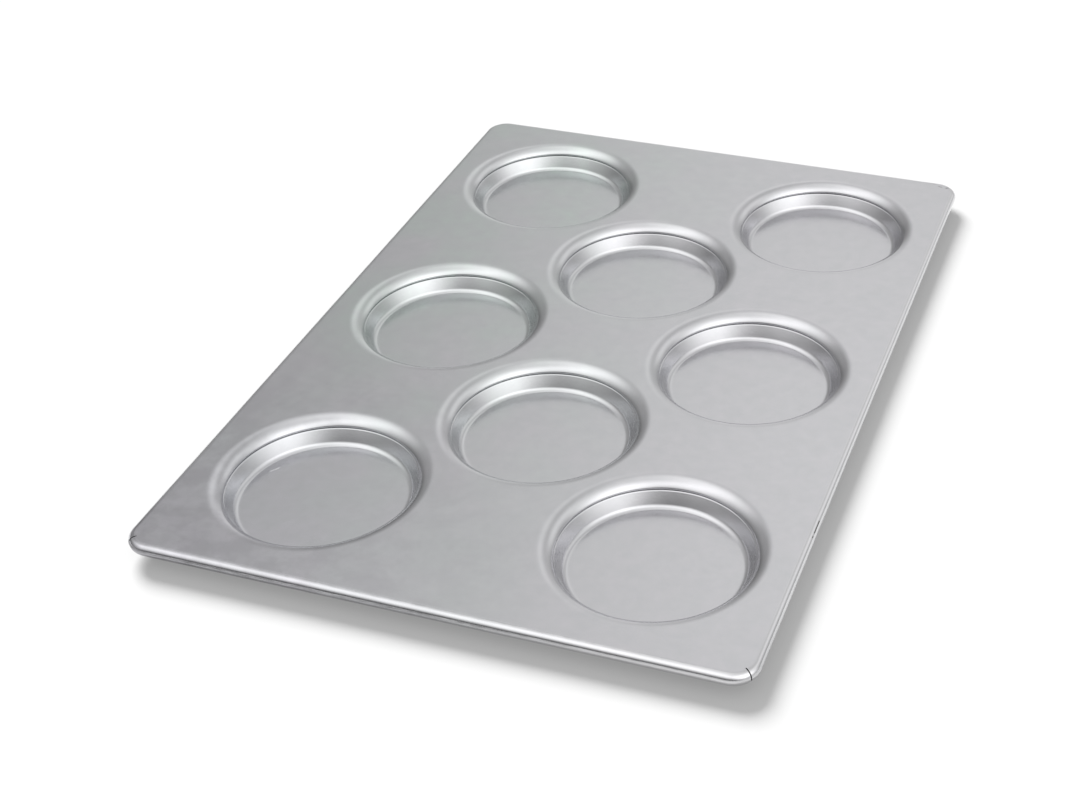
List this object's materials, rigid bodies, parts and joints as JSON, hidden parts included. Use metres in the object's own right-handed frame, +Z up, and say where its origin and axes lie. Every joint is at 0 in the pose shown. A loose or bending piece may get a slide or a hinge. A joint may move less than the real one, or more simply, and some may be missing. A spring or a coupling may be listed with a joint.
{
  "type": "compartment sheet pan",
  "caption": "Shallow metal baking pan with round cups seamed into a flat sheet in staggered rows, and a rolled, wired rim slit at its corners.",
  "frame": {"origin": "on the surface the pan stands on, under the middle of the pan", "axes": "+X across the pan to the right, +Y along its long side away from the viewer, +Z up out of the cups"},
  "size_m": [0.454, 0.6572, 0.0199],
  "materials": {
    "pan_sheet": "satin aluminised steel sheet, lightly mottled",
    "cup": "satin aluminised steel, drawn",
    "rim_wire": "bare drawn steel wire"
  },
  "bodies": {
    "root": {"pan_sheet": "pan_sheet", "rim_wire": "rim_wire", "cup_front_left": "cup", "cup_middle_left": "cup", "cup_back_left": "cup", "cup_front_centre": "cup", "cup_back_centre": "cup", "cup_front_right": "cup", "cup_middle_right": "cup", "cup_back_right": "cup"}
  },
  "joints": []
}
